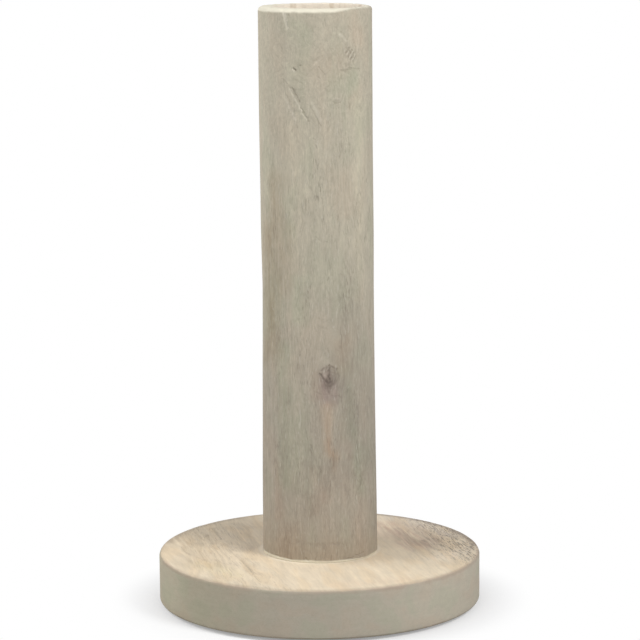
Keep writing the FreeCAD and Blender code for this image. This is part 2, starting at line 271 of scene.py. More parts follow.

# Each stain, and each patch of painted light or shade, gives half its width, its strength and the tint that
# it turns the wash to, and then its points.
TintedPatch = namedtuple("TintedPatch", "half_width strength tint points")
PINKISH = (1.01, 0.975, 0.965)
REDDISH = (0.955, 0.895, 0.86)
GREENISH = (0.95, 0.99, 0.965)
PALE_PINK = (1.07, 1.015, 0.98)
PURPLISH = (0.88, 0.83, 0.865)
UMBER = (0.89, 0.862, 0.825)
POST_STAINS_AND_PAINTED_LIGHT = [TintedPatch(half_width, strength, tint, points) for half_width, strength, tint, *points in (
    (7, 1, UMBER, (-21, 192), (-21, 166), (-22.6, 118)),
    (6, 1, UMBER, (-27, 168), (-28, 112)),
    # Painted shade darkens the lower right of the post's side.
    (11, 1, (0.88, 0.88, 0.88), (15, 136), (19, 104), (19, 66)),
    (4, 0.5, UMBER, (-13, 172), (-14.6, 146)),
    (6, 1, (0.93, 0.925, 0.92), (-31, 110), (-31, 60)),
    (3.4, 1, (0.93, 0.925, 0.925), (13.2, 98), (13.4, 74)),
    (3.4, 1, (1.07, 1.07, 1.07), (-5, 206), (-5, 190)),
    # Upright bands a little darker and a little lighter down the front, and a painted highlight down the
    # post's right edge.
    (7, 1, (0.955, 0.955, 0.955), (12, 246), (11, 90)),
    (5, 1, (1.045, 1.04, 1.03), (-10, 216), (-10, 60)),
    (3.5, 1, (1.05, 1.045, 1.03), (21, 226), (21, 140)),
    (5, 1, (0.955, 0.95, 0.945), (1, 92), (4, 60)),
    (3, 1, (0.91, 0.885, 0.87), (-4.3, 53), (-3.6, 45)),
    (5, 1, PINKISH, (12.6, 196), (13.6, 180)),
    (9, 1, PINKISH, (2, 240), (8, 243)),
    (5, 1, PINKISH, (17, 262), (20, 254)),
    (5, 0.8, GREENISH, (-10, 259), (-8, 254)),
    (5, 0.9, GREENISH, (17, 237), (14, 232)),
    (4, 0.9, PINKISH, (21, 232), (17, 226)),
    (4.5, 1.2, GREENISH, (-7.8, 148), (-8.2, 132)),
    (5, 1.6, GREENISH, (-16.6, 118), (-15.6, 58)),
    (4.5, 1, GREENISH, (-9, 86), (-9.6, 56)),
    (4, 0.8, GREENISH, (13.6, 100), (14.6, 78)),
    (7, 1.3, PURPLISH, (5.2, 104), (4.8, 99.4)),
    (3, 0.6, REDDISH, (-1.2, 106), (-1, 99)),
    (2.8, 1.7, PALE_PINK, (3.8, 94), (5.2, 72)),
    (1.4, 0.8, REDDISH, (5.6, 80), (5.4, 66)),
    (4, 1, PINKISH, (-1, 62), (2, 52)),
    (5, 1, (0.99, 0.945, 0.92), (10.4, 120), (11, 112)),
    (5, 1.4, GREENISH, (20, 72), (20, 54)),
    (6, 0.7, PINKISH, (21, 44), (21, 28)),
    (3.6, 1, PINKISH, (-20, 66), (-20.4, 44)),
    (6, 0.8, (0.96, 0.91, 0.88), (-12, 36), (-14, 27)),
)]

# The base's board lies with its grain along this direction in plan, nearly away from the camera.
GRAIN_TURN = math.radians(12.7)

# Marks, stains and patches of painted light and shade on the top of the base, in plan.
BASE_MARKS = [Mark(half_width, depth, shade, points) for half_width, depth, shade, *points in (
    (0.6, 0.12, 0.24, (-40, -2), (-35.6, -16.4)),
    (0.75, 0.24, 0.44, (-34.8, -18.6), (-31.9, -29.4), (-28.5, -43)),
    (0.55, 0.2, 0.34, (-28, -46), (-25.2, -56.2)),
    (0.5, 0.12, 0.24, (-37, -8), (-33.6, -18.6)),
    (1, 0.14, 0.3, (-51.1, 26), (-48.3, 9.7)),
    (1.1, 0.14, 0.32, (-48.9, 39.4), (-44.5, 18.7)),
    (0.75, 0.12, 0.2, (-44, 14), (-38.6, -1)),
    (0.8, 0.12, 0.2, (-57.4, 34), (-53, 18)),
    (0.65, 0.12, 0.26, (-62.1, 4.7), (-60.4, -3), (-57.4, -9.7)),
    (0.65, 0.12, 0.26, (-54.6, -13.3), (-50.4, -18.6)),
    (0.7, 0.14, 0.3, (-48, 6), (-45.8, 0)),
    (0.5, 0, -0.35, (-46.2, 8), (-44.2, 1)),
    (0.6, 0.12, 0.22, (-33, -30), (-29, -46)),
    (1.15, 0.12, 0.32, (30.1, 39.1), (36.8, 14.7)),
    (1.25, 0.12, 0.32, (35.6, 37.1), (44.7, 5.4)),
    (1, 0.12, 0.24, (39.1, 29.4), (42.5, -5.3)),
    (1.05, 0.12, 0.28, (37.2, 30), (45, 13), (53.4, -4)),
    (0.9, 0.12, 0.26, (42, 36), (50, 15)),
    (0.8, 0.14, 0.3, (47.6, 34), (55, 12)),
    (0.8, 0.2, 0.5, (47.2, 14), (48.8, 10.8)),
    (0.85, 0.2, 0.52, (54.2, 6.6), (56, 3)),
    (0.55, 0, -0.35, (49.6, 13), (50.8, 10.2)),
    (0.55, 0, -0.4, (56.6, 6), (57.8, 3)),
    (0.6, 0.18, 0.4, (54, 33), (58, 22)),
    (0.6, 0.2, 0.44, (59, 25), (63, 14)),
    (0.6, 0.22, 0.46, (60.6, 12), (63.4, 4.6)),
    (0.55, 0.22, 0.5, (64.4, 14), (67, 5)),
    (0.8, 0.22, 0.6, (62, -7.4), (63.8, -11.6)),
    (0.6, 0, -0.6, (63.9, -7.6), (65.3, -11)),
    (0.6, 0.22, 0.6, (66.6, -12.8), (68.2, -17)),
    (0.6, 0.22, 0.5, (64.4, -16), (66, -20.6)),
    (0.5, 0, -0.6, (66, -16), (67.4, -20.2)),
    (0.55, 0.22, 0.5, (65.6, 1.6), (67.4, -5)),
    (0.45, 0, -0.5, (67.2, 1.4), (68.7, -4.6)),
    (0.45, 0.22, 0.5, (68.2, 3), (69.6, -4)),
    (0.55, 0.16, 0.36, (59, -2), (61.6, -8.4)),
    (0.5, 0.14, 0.34, (58.4, -13), (60.6, -20)),
    (0.5, 0.1, 0.24, (50, -9), (52.6, -18)),
    (0.45, 0.1, 0.2, (46, -12), (48.4, -21)),
    (0.45, 0.08, 0.18, (42, -14), (44, -22)),
)]
BASE_STAINS_AND_PAINTED_LIGHT = [TintedPatch(half_width, strength, tint, points) for half_width, strength, tint, *points in (
    # Behind the post at the right: brown streaks, deepened with painted shade where the left lamp's shadow
    # falls, and a bluish-grey painted shade further back.
    (9, 1, (0.85, 0.8, 0.81), (31, 42), (45, 2)),
    (7, 1, (0.88, 0.86, 0.87), (44, 38), (53, 8)),
    (8, 1, (0.88, 0.89, 0.94), (34, 56), (50, 41), (60, 24)),
    # Painted light brightens the far right of the top, where the left lamp's shadow reaches.
    (8, 1, (1.15, 1.16, 1.2), (54, -18), (69, 0), (70, 8)),
    # A painted shadow behind the post at the left, deepening the right lamp's shadow.
    (10, 1, (0.87, 0.87, 0.88), (-36, 38), (-31, 4)),
    (12, 1, (0.89, 0.87, 0.84), (-62, 22), (-50, -22)),
    (7, 0.5, (1, 1, 0.9), (-50, -28), (-36, -46)),
    (7, 0.5, (1, 0.95, 0.93), (10, -62), (36, -54)),
)]


def length(name, description, default):
    """A length that a user would change."""
    return FloatProperty(name=name, description=description, default=default, unit="LENGTH")


def angle(name, description, degrees):
    """An angle that a user would change."""
    return FloatProperty(name=name, description=description, default=math.radians(degrees), subtype="ANGLE")


def amount(name, description, default):
    """A plain amount that a user would change."""
    return FloatProperty(name=name, description=description, default=default)


def count(name, description, default, least):
    """A whole number that a user would change."""
    return IntProperty(name=name, description=description, default=default, min=least)


def colour(name, description, *default):
    """A colour that a user would change."""
    return FloatVectorProperty(name=name, description=description, subtype="COLOR", size=3, default=default)


class PostSizes(bpy.types.PropertyGroup):
    """What a user would change on the turned post."""

    rim_round: length("Rim round", "Radius of the round on the rim's outer edge", 2.0 * MM)
    mouth_round: length("Mouth round", "Radius of the round at the cup's mouth", 0.6 * MM)
    foot_round: length("Foot round", "Radius of the round at the post's foot", 0.4 * MM)
    cup_radius: length("Cup radius", "Radius of the candle cup", 20.1 * MM)
    side_facets: count("Facets", "Faces round the post", 196, 24)
    ring_height: length("Ring height", "Height of the rings of faces up the post", 0.98 * MM)
    wear: length("Wear", "How far hand sanding has left the side uneven", 0.22 * MM)


class BaseSizes(bpy.types.PropertyGroup):
    """What a user would change on the base."""

    top_round: length("Top round", "Radius of the round on the top edge", 1.6 * MM)
    bottom_round: length("Bottom round", "Radius of the round on the bottom edge", 1.2 * MM)
    side_facets: count("Facets", "Faces round the base", 384, 24)
    ring_width: length("Ring width", "Width of the rings of faces across the top", 1.3 * MM)
    wear: length("Wear", "How far hand sanding has left the top uneven", 0.16 * MM)


class FittingSizes(bpy.types.PropertyGroup):
    """What a user would change on the metal, the dowels and the pads."""

    pricket_pitch: length("Pricket pitch", "Pitch of the thread under the pricket", 1.2 * MM)
    screw_pitch: length("Screw pitch", "Pitch of the wood thread on the post screw", 2.4 * MM)
    thread_depth: length("Thread depth", "Depth of both threads", 0.45 * MM)
    socket_flats: length("Socket flats", "Width across the flats of the screw's socket", 5.0 * MM)
    flutes: count("Flutes", "Grooves round a dowel", 16, 6)
    fuzz: length("Fuzz", "How uneven the felt's side is", 0.25 * MM)


class Finishes(bpy.types.PropertyGroup):
    """The colours of the stand."""

    post_wash: colour("Post wash", "Greyed whitewash on the post", 0.50, 0.453, 0.350)
    shaded_post_foot: colour("Post foot", "Browner, thinner wash towards the foot", 0.412, 0.362, 0.288)
    # Darker than the wash: painted shade for light that falls off towards the foot, and a little browner.
    post_wood: colour("Post wood", "Dark wood in the post's cracks and pores", 0.085, 0.064, 0.047)
    rim: colour("Rim", "Pale cream where the rim is worn", 0.86, 0.81, 0.655)
    cup: colour("Cup", "Tan wood inside the cup", 0.87, 0.785, 0.66)
    base_wash: colour("Base wash", "Creamy whitewash on the top of the base", 0.83, 0.708, 0.530)
    base_wood: colour("Base wood", "Dark wood in the base's open pores", 0.155, 0.114, 0.086)
    base_side: colour("Base side", "Greyer wash round the side of the base", 0.467, 0.421, 0.333)
    steel: colour("Steel", "Dulled steel of the pricket and its plate", 0.42, 0.41, 0.40)
    zinc: colour("Zinc", "Zinc plating of the screw and its washer", 0.62, 0.63, 0.64)
    beech: colour("Beech", "Bare beech of the dowels", 0.62, 0.42, 0.24)
    felt: colour("Felt", "Brown wool felt of the pads", 0.12, 0.10, 0.085)


class StageSizes(bpy.types.PropertyGroup):
    """The camera, the lamps and the floor."""

    camera_distance: length("Camera distance", "From the stand's axis to the camera", 1.2)
    camera_height: length("Camera height", "From the floor to the camera", 334.5 * MM)
    camera_pitch: angle("Camera pitch", "How far the camera looks down", 9.783)
    camera_roll: angle("Camera roll", "How far the camera is turned on its own line of sight", -0.394)
    camera_lens: FloatProperty(
        name="Camera lens", description="Focal length on a sensor 36 mm wide", default=154.2, min=1)
    camera_shift: amount("Camera shift", "Sideways shift, as a share of the picture's width", 0.0034)
    right_lamp: amount("Right lamp", "Watts of the soft lamp at the front right", 4.95)
    left_lamp: amount("Left lamp", "Watts of the soft lamp at the left", 4.4)
    fill_lamp: amount("Fill lamp", "Watts of the broad lamp at the front left", 1.35)
    room: amount("Room", "Strength of the even light from all round", 0.22)


def clear_selection():
    """Leaves edit mode and deselects every object."""
    if bpy.context.mode != "OBJECT":
        bpy.ops.object.mode_set(mode="OBJECT")
    bpy.ops.object.select_all(action="DESELECT")


def take(piece):
    """Makes this the one selected object."""
    clear_selection()
    piece.select_set(True)
    bpy.context.view_layer.objects.active = piece


def choose(piece, kind, wanted):
    """Selects, in edit mode, the vertices, edges or faces that the test picks."""
    bpy.ops.mesh.select_mode(type=kind)
    bpy.ops.mesh.select_all(action="DESELECT")
    mesh = bmesh.from_edit_mesh(piece.data)
    for part in {"VERT": mesh.verts, "EDGE": mesh.edges, "FACE": mesh.faces}[kind]:
        if wanted(part):
            part.select_set(True)
    mesh.select_flush_mode()
    bmesh.update_edit_mesh(piece.data)


def rest_in_place(piece):
    """Puts the piece's place into its mesh, so its object sits at the origin."""
    take(piece)
    bpy.ops.object.transform_apply(location=True, rotation=True, scale=True)


def name_piece(name):
    """Names the piece that was just added."""
    piece = bpy.context.object
    piece.name = piece.data.name = name
    return piece


def turn(name, facets, outline, axis=0.0):
    """Turns a closed piece: a disc, drawn from point to point of a half outline of radius and height.

    The axis is its place along X, and a point of the outline may give its own."""
    (radius, height, middle), *rest = [(*point, axis)[:3] for point in outline]
    clear_selection()
    bpy.ops.mesh.primitive_circle_add(
        vertices=facets, radius=radius, fill_type="NGON", location=(middle, 0, height))
    piece = name_piece(name)
    bpy.ops.object.mode_set(mode="EDIT")
    bpy.ops.mesh.select_all(action="SELECT")
    for next_radius, next_height, next_middle in rest:
        move = (next_middle - middle, 0, next_height - height)
        bpy.ops.mesh.extrude_region_move(TRANSFORM_OT_translate={"value": move})
        scale = next_radius / radius
        bpy.ops.transform.resize(value=(scale, scale, 1), center_override=(next_middle, 0, next_height))
        radius, height, middle = next_radius, next_height, next_middle
    bpy.ops.mesh.select_all(action="SELECT")
    bpy.ops.mesh.normals_make_consistent(inside=False)
    rest_in_place(piece)
    return piece


def quarter(corner, back, on, steps):
    """Points that round off a corner, from the corner moved back to the corner moved on."""
    points = []
    for step in range(steps + 1):
        turned = math.pi / 2 * step / steps
        from_back, from_on = 1 - math.sin(turned), 1 - math.cos(turned)
        radius, height = (corner[way] + back[way] * from_back + on[way] * from_on for way in (0, 1))
        points.append((radius, height, *corner[2:]))
    return points


def cut_away(piece, tool, operation="DIFFERENCE"):
    """Cuts the tool out of the piece, or joins it on, and removes the tool."""
    change = piece.modifiers.new("cut", "BOOLEAN")
    change.operation = operation
    change.solver = "EXACT"
    change.object = tool
    take(piece)
    bpy.ops.object.modifier_apply(modifier=change.name)
    bpy.data.objects.remove(tool)


def bore(piece, radius, bottom, top, x=0.0, facets=48):
    """Cuts a round hole, or one with flats, from bottom to top through the piece."""
    clear_selection()
    bpy.ops.mesh.primitive_cylinder_add(
        vertices=facets, radius=radius, depth=top - bottom, location=(x, 0, (bottom + top) / 2))
    cut_away(piece, bpy.context.object)


def complete(piece, material, node, sharp_angle=40):
    """Shades the piece smooth apart from its sharp edges, gives it its finish and body, and hides the solid
    that it replaces.
    """
    take(piece)
    bpy.ops.object.shade_smooth_by_angle(angle=math.radians(sharp_angle))
    piece.data.materials.clear()
    piece.data.materials.append(material)
    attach(piece, BODY)
    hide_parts(node)


def points_of(piece):
    """The places of the piece's vertices in millimetres, one row for each."""
    places = np.empty(len(piece.data.vertices) * 3)
    piece.data.vertices.foreach_get("co", places)
    return places.reshape(-1, 3) / MM


def from_axis(places):
    """How far the places are from the Z axis."""
    return np.hypot(places[:, 0], places[:, 1])


def line_distance(flat, points):
    """How far each flat place is from a line through the points."""
    nearest = np.full(len(flat), np.inf)
    for start, end in zip(np.array(points), np.array(points)[1:]):
        along = end - start
        reach = np.clip((flat - start) @ along / (along @ along), 0, 1)
        nearest = np.minimum(nearest, np.linalg.norm(flat - start - reach[:, None] * along, axis=1))
    return nearest


def ease(value, low, high):
    """Goes smoothly from 0 to 1 as the value goes from low to high."""
    share = np.clip((value - low) / (high - low), 0, 1)
    return share * share * (3 - 2 * share)


def ripple(flat, size, seed):
    """A smooth, repeatable unevenness between -1 and 1 whose waves are about this size."""
    turns = 2 * math.pi / size
    across, along = flat[:, 0] * turns, flat[:, 1] * turns
    first = np.sin(across + 1.7 * np.sin(0.61 * along + seed))
    return (first + np.sin(0.73 * along + 1.3 * np.sin(0.87 * across - seed))) / 2


def jog(flat, size, reach):
    """The flat places, moved unevenly by up to the reach, so that marks get ragged edges."""
    return flat + reach * np.stack([ripple(flat, size, 0.4), ripple(flat[:, ::-1], size, 2.1)], axis=1)


def displace(piece, name, weights, depth, cloud_size=None, stretch=1.0):
    """Moves the surface out along its normals by the depth times the weight of each vertex.

    With a cloud size it goes out and in with cloudy noise of that size, stretched along Z."""
    group = piece.vertex_groups.new(name=name)
    for index in np.flatnonzero(weights > LEAST_WEIGHT):
        group.add([int(index)], float(weights[index]), "REPLACE")
    move = piece.modifiers.new(name, "DISPLACE")
    move.direction = "NORMAL"
    move.strength = depth
    move.vertex_group = name
    move.mid_level = 0.0
    if cloud_size:
        bpy.ops.object.empty_add()
        guide = bpy.context.object
        guide.scale = (1, 1, stretch)
        bpy.context.view_layer.update()
        texture = bpy.data.textures.new(name, "CLOUDS")
        texture.noise_scale = cloud_size
        texture.noise_depth = 2
        move.texture = texture
        move.texture_coords = "OBJECT"
        move.texture_coords_object = guide
        move.mid_level = 0.5
    take(piece)
    bpy.ops.object.modifier_apply(modifier=move.name)
    if cloud_size:
        bpy.data.objects.remove(guide)
    piece.vertex_groups.remove(piece.vertex_groups[name])


def nearness(flat, mark, end):
    """1 along the mark's line, going smoothly to 0 at this many half widths from it."""
    return 1 - ease(line_distance(flat, mark.points), mark.half_width * WHOLE, mark.half_width * end)


def press(piece, marks, lay_flat):
    """Divides the faces finely along the marks, and presses in those that have depth.

    lay_flat takes places in millimetres and returns flat ones, and whether each is on the marked surface."""
    bpy.ops.object.mode_set(mode="EDIT")
    mesh = bmesh.from_edit_mesh(piece.data)
    flat, marked = lay_flat(np.array([face.calc_center_median() for face in mesh.faces]) / MM)
    near = np.zeros(len(flat), bool)
    for mark in marks:
        near |= line_distance(flat, mark.points) < mark.half_width * FINE_WIDTHS + FINE_MARGIN
    chosen = set(np.flatnonzero(near & marked).tolist())
    choose(piece, "FACE", lambda face: face.index in chosen)
    bpy.ops.mesh.subdivide(number_cuts=3)
    take(piece)
    flat, marked = lay_flat(points_of(piece))
    ragged = jog(flat, RAGGED_SIZE, RAGGED_REACH)
    depth = np.zeros(len(flat))
    for mark in marks:
        if mark.depth:
            depth = np.maximum(depth, mark.depth * nearness(ragged, mark, DEPTH_END))
    deepest = depth.max()
    displace(piece, "marks", depth * marked / deepest, -deepest * MM)


def paint(piece, marks, stains_and_light, lay_flat, knots=()):
    """Paints each vertex with the marks' shade, and with the tint of the stains and of the patches of painted
    light and shade, for the material to read.
    """
    flat, marked = lay_flat(points_of(piece))
    ragged = jog(flat, RAGGED_SIZE, RAGGED_REACH)
    shade = np.zeros(len(flat))
    for mark in marks:
        share = nearness(ragged, mark, SHADE_END) * (0.7 + 0.3 * ripple(flat, 1.9, mark.points[0][0]))
        shade = np.where(np.abs(mark.shade) * share > np.abs(shade), mark.shade * share, shade)
    for knot in knots:
        # A knot is taller than wide, with rings and a dark core a little below its middle.
        offset = (flat - knot) * (1.0, 0.85)
        reach = np.linalg.norm(offset, axis=1) + 0.35 * ripple(flat, 4.0, 1.0)
        rings = 0.5 + 0.5 * np.sin(reach * 2 * math.pi / KNOT_RINGS)
        heart = 1 - ease(reach, 2.6, 5.6)
        core = 1 - ease(np.linalg.norm(offset + (0.4, 1.2), axis=1), 0.5, 4.2)
        dark = heart * (0.15 + 0.20 * rings) + 0.38 * core
        both = np.maximum(shade, dark) + 0.25 * np.minimum(shade, dark)
        shade = np.where(shade < 0, shade + dark * 0.7, both)
    tint = np.ones((len(flat), 3))
    spread = jog(flat, SPREAD_SIZE, SPREAD_REACH)
    for tinted_patch in stains_and_light:
        share = 1 - ease(line_distance(spread, tinted_patch.points), 0, tinted_patch.half_width * PATCH_END)
        tint *= 1 + (np.array(tinted_patch.tint) - 1) * (tinted_patch.strength * share)[:, None]
    tint = np.where(marked[:, None], tint, 1)
    layer = piece.data.attributes.new("shade", "FLOAT", "POINT")
    layer.data.foreach_set("value", (shade * marked).astype(np.float32))
    layer = piece.data.attributes.new("tint", "FLOAT_VECTOR", "POINT")
    layer.data.foreach_set("vector", tint.astype(np.float32).ravel())


class Wire:
    """An output of a node, and the ways to work on it. A place is a vector in millimetres."""

    def __init__(self, nodes, socket):
        self.nodes = nodes
        self.socket = socket

    def __add__(self, other):
        return self.nodes.math("ADD", self, other)

    def __mul__(self, other):
        return self.nodes.math("MULTIPLY", self, other)

    def most(self, other):
        """The larger of the two."""
        return self.nodes.math("MAXIMUM", self, other)

    def share(self, factor):
        """This times the factor, kept between 0 and 1."""
        return self.nodes.math("MULTIPLY", self, factor, clamp=True)

    def step(self, low, high, start=0.0, end=1.0):
        """Goes smoothly from start to end as this goes from low to high."""
        inputs = {"Value": self, "From Min": low, "From Max": high, "To Min": start, "To Max": end}
        return self.nodes.add("MapRange", inputs, interpolation_type="SMOOTHSTEP")

    def vector(self, operation, other=(0.0, 0.0, 0.0)):
        """Vector sums, such as with another place."""
        output = "Value" if operation in ("LENGTH", "DOT_PRODUCT") else "Vector"
        return self.nodes.add("VectorMath", {0: self, 1: other}, output, operation=operation)

    def moved(self, *offset):
        """This place, moved by the offset."""
        return self.vector("ADD", offset)

    def from_upright(self, x=0.0, y=0.0):
        """How far this place is from an upright line at x and y."""
        return self.vector("SUBTRACT", (x, y, 0)).vector("MULTIPLY", (1, 1, 0)).vector("LENGTH")

    def growth_rings(self, x, y, spacing):
        """The pale and dark of a log's rings, between -1 and 1, round an upright pith at x and y."""
        return self.nodes.math("SINE", self.from_upright(x, y) * (2 * math.pi / spacing))

    def noise(self, across, along, detail=2.0, roughness=0.5, output=0):
        """Cloudy noise at this place, whose grains are across wide and along tall."""
        shrunk = self.vector("MULTIPLY", (1 / across, 1 / across, 1 / along))
        inputs = {"Vector": shrunk, "Scale": 1.0, "Detail": detail, "Roughness": roughness}
        return self.nodes.add("TexNoise", inputs, output)

    def swing(self, across, along, reach, detail=2.0, roughness=0.5):
        """Noise between about minus and plus the reach."""
        cloud = self.noise(across, along, detail, roughness)
        return self.nodes.math("MULTIPLY_ADD", cloud, 4 * reach, -2 * reach)

    def dashes(self, across, along, low, high):
        """Dashes along Z: 1 where noise goes above the high level, and 0 below the low one."""
        return self.noise(across, along, 1.0).step(low, high)

    def wander(self, across, along, reach):
        """This place, moved about smoothly by up to the reach across Z."""
        cloud = self.noise(across, along, 1.0, output=1)
        inputs = {0: cloud, 1: (4 * reach, 4 * reach, 0), 2: (-2 * reach, -2 * reach, 0)}
        return self.vector("ADD", self.nodes.add("VectorMath", inputs, operation="MULTIPLY_ADD"))


class Nodes:
    """The nodes of a material or a world while they are joined."""

    def __init__(self, owner):
        owner.use_nodes = True
        self.tree = owner.node_tree
        self.tree.nodes.clear()

    def add(self, kind, inputs=None, output=0, **settings):
        """Adds a node and returns one of its outputs. An input is a wire to join or a value to set."""
        node = self.tree.nodes.new("ShaderNode" + kind)
        for name, value in settings.items():
            setattr(node, name, value)
        for name, value in (inputs or {}).items():
            socket = node.inputs[name]
            if isinstance(value, Wire):
                self.tree.links.new(value.socket, socket)
            elif socket.type == "RGBA":
                socket.default_value = (*value[:3], 1.0)
            else:
                socket.default_value = value
        return Wire(self, node.outputs[output]) if node.outputs else None

    def math(self, operation, first, second=0.0, third=0.0, clamp=False):
        return self.add("Math", {0: first, 1: second, 2: third}, operation=operation, use_clamp=clamp)

    def seen(self):
        """1 where this is looked at, straight or in metal or glass, and 0 where it only lights the stand."""
        looked_at = self.add("LightPath", output="Is Camera Ray")
        in_metal = self.add("LightPath", output="Is Glossy Ray")
        in_glass = self.add("LightPath", output="Is Transmission Ray")
        return looked_at.most(in_metal).most(in_glass)

    def scaled(self, colour, factor):
        """A colour or vector times a factor."""
        return self.add("VectorMath", {0: colour, "Scale": factor}, operation="SCALE")

    def blend(self, share, first, second, kind="MIX"):
        """Mixes two colours."""
        return self.add("Mix", {0: share, 6: first, 7: second}, 2, data_type="RGBA", blend_type=kind)

    def tinted(self, colour, tint, share):
        """The colour, multiplied by the tint where the share is 1."""
        return self.blend(share, colour, self.blend(1.0, colour, tint, "MULTIPLY"))


class Finish(Nodes):
    """A material while it is mixed."""

    def __init__(self, name):
        self.material = bpy.data.materials.new(name)
        super().__init__(self.material)
        self.place = self.add("TexCoord", output="Object").vector("MULTIPLY", (1 / MM,) * 3)
        parts = self.add("SeparateXYZ", {0: self.place}).socket.node
        self.x, self.y, self.z = (Wire(self, socket) for socket in parts.outputs)

    def shade(self):
        """What the marks were painted with."""
        return self.add("Attribute", output="Fac", attribute_name="shade")

    def stained_and_lit(self, colour, streaks):
        """The colour with the tint of the stains and of the patches of painted light and shade, made streaky.
        """
        tint = self.add("Attribute", output="Vector", attribute_name="tint")
        change = self.scaled(tint.moved(-1, -1, -1), streaks + 1)
        return self.add("VectorMath", {0: colour, 1: change.moved(1, 1, 1)}, operation="MULTIPLY")

    def close(self, colour, roughness, height, bump_depth, gloss):
        """Ends the material in a Principled shader. Height is in shares of the bump's depth."""
        bump = self.add("Bump", {"Height": height, "Distance": bump_depth, "Strength": 1.0})
        inputs = {"Base Color": colour, "Roughness": roughness, "Normal": bump, **gloss}
        self.add("OutputMaterial", {"Surface": self.add("BsdfPrincipled", inputs)})
        return self.material


def post_wood(colours):
    """Greyed whitewash rubbed over the post's faint upright grain, with its marks, stains and worn rim, and
    with painted light and shade.
    """
    finish = Finish("whitewashed_post")
    here, x, y, z = finish.place, finish.x, finish.y, finish.z
    # The grain bends round the front knot.
    knot_x, knot_height = KNOTS[0]
    beside, over = x + -knot_x, z + -knot_height
    spread = beside * beside * (1 / 70) + over * over * (1 / 300)
    pull = finish.math("POWER", 0.37, spread) * -0.7
    place = here.vector("ADD", finish.add("CombineXYZ", {0: beside * pull}))
    place = place.wander(16, 90, 2.2).wander(4.5, 13, 0.55)
    lower = (z + here.swing(14, 20, 12)).step(246, 205, 0.5, 1.0)
    bundles = place.noise(4, 15).step(0.40, 0.60, 0.25, 1.0)
    fibres = place.swing(1.3, 8, 0.08, 2, 0.6) + place.swing(3.0, 24, 0.045, 2, 0.5)
    hairs = place.swing(0.50, 3.0, 0.15, 2, 0.6) * bundles
    figure = place.wander(7, 46, 3.2).growth_rings(-34, 26, 5.2) * 0.018
    clouding = here.swing(8, 15, 0.05, 3, 0.6)
    ruffled = (z + here.swing(9, 9, 12)).step(196, 232, 0.8, 2.2)
    scuffs = here.wander(4, 4, 1.5).swing(1.2, 2.4, 0.062, 3, 0.65) * ruffled
    tone = (fibres + hairs + figure) * lower + 1 + (clouding + scuffs)

    # The wash is darker and a little browner low down: the darkening is painted shade for light that falls
    # off towards the foot. It drifts to green and pink.
    foot = (z + here.swing(12, 30, 14)).step(190, 50)
    wash = finish.blend(foot, colours.post_wash, colours.shaded_post_foot)
    wash = finish.tinted(wash, (0.98, 0.94, 0.90), (z + here.swing(5, 5, 2)).step(37, 27, 0, 0.7))
    drift = here.wander(12, 30, 3).noise(10, 30, 2)
    wash = finish.tinted(wash, GREENISH, drift.step(0.50, 0.34, 0, 0.7))
    wash = finish.tinted(wash, PINKISH, drift.step(0.50, 0.66, 0, 0.6))
    wash = finish.scaled(finish.stained_and_lit(wash, place.swing(1.5, 34, 0.5, 2, 0.6)), tone)

    # Pores and marks show the wood, and flecks and the lips of marks are pale. Beside the groove, the gouge
    # and the scratches the dark and the pale are partly painted shade and painted highlight.
    patchy = here.noise(7, 22).step(0.44, 0.60)
    pores = place.dashes(0.50, 4.2, 0.60, 0.68) * patchy * lower
    flecks = place.moved(31, 17, 5).dashes(0.42, 4.5, 0.62, 0.72) * lower
    wash = finish.blend(pores * 0.22, wash, colours.post_wood)
    wash = finish.blend(flecks * 0.28, wash, (0.64, 0.60, 0.51))
    shade = finish.shade()
    dark = finish.math("POWER", shade.share(1.0), 1.25)
    wash = finish.blend(dark * 0.8, wash, colours.post_wood)
    wash = finish.blend(shade.share(-0.8), wash, (0.78, 0.72, 0.60))

    # The rim and the arris of the foot are worn pale, and the cup is bare wood.
    level = z + here.swing(4, 4, 0.26) + x.step(7, 18, 0, -1.2)
    worn = level.step(POST_HEAD - 2.1, POST_HEAD - 0.9)
    foot_level = z + here.swing(9, 9, 0.35) + x.step(6, 20, 0, 0.6)
    chipped = foot_level.step(POST_FOOT + 1.5, POST_FOOT + 0.7, 0, 0.85) * y.step(0, -8)
    pale = finish.scaled(colours.rim, here.swing(2.5, 2.5, 0.04) + 1)
    wash = finish.blend(worn.most(chipped), wash, pale)
    stripes = place.noise(3.6, 60, 1.0).step(0.52, 0.68, 0, 0.34)
    bored = finish.blend(stripes, colours.cup, (0.46, 0.33, 0.19))
    bored = finish.scaled(bored, here.swing(3, 1.2, 0.06) + 1)
    wash = finish.blend(here.from_upright(cup_axis / MM).step(20.6, 20.25), wash, bored)

    relief = (fibres + hairs) * 1.6 + pores * -0.6 + (scuffs * 5 + flecks * 0.3)
    return finish.close(wash, here.swing(3, 9, 0.05) + 0.84, relief, 0.07 * MM, WOOD_GLOSS)


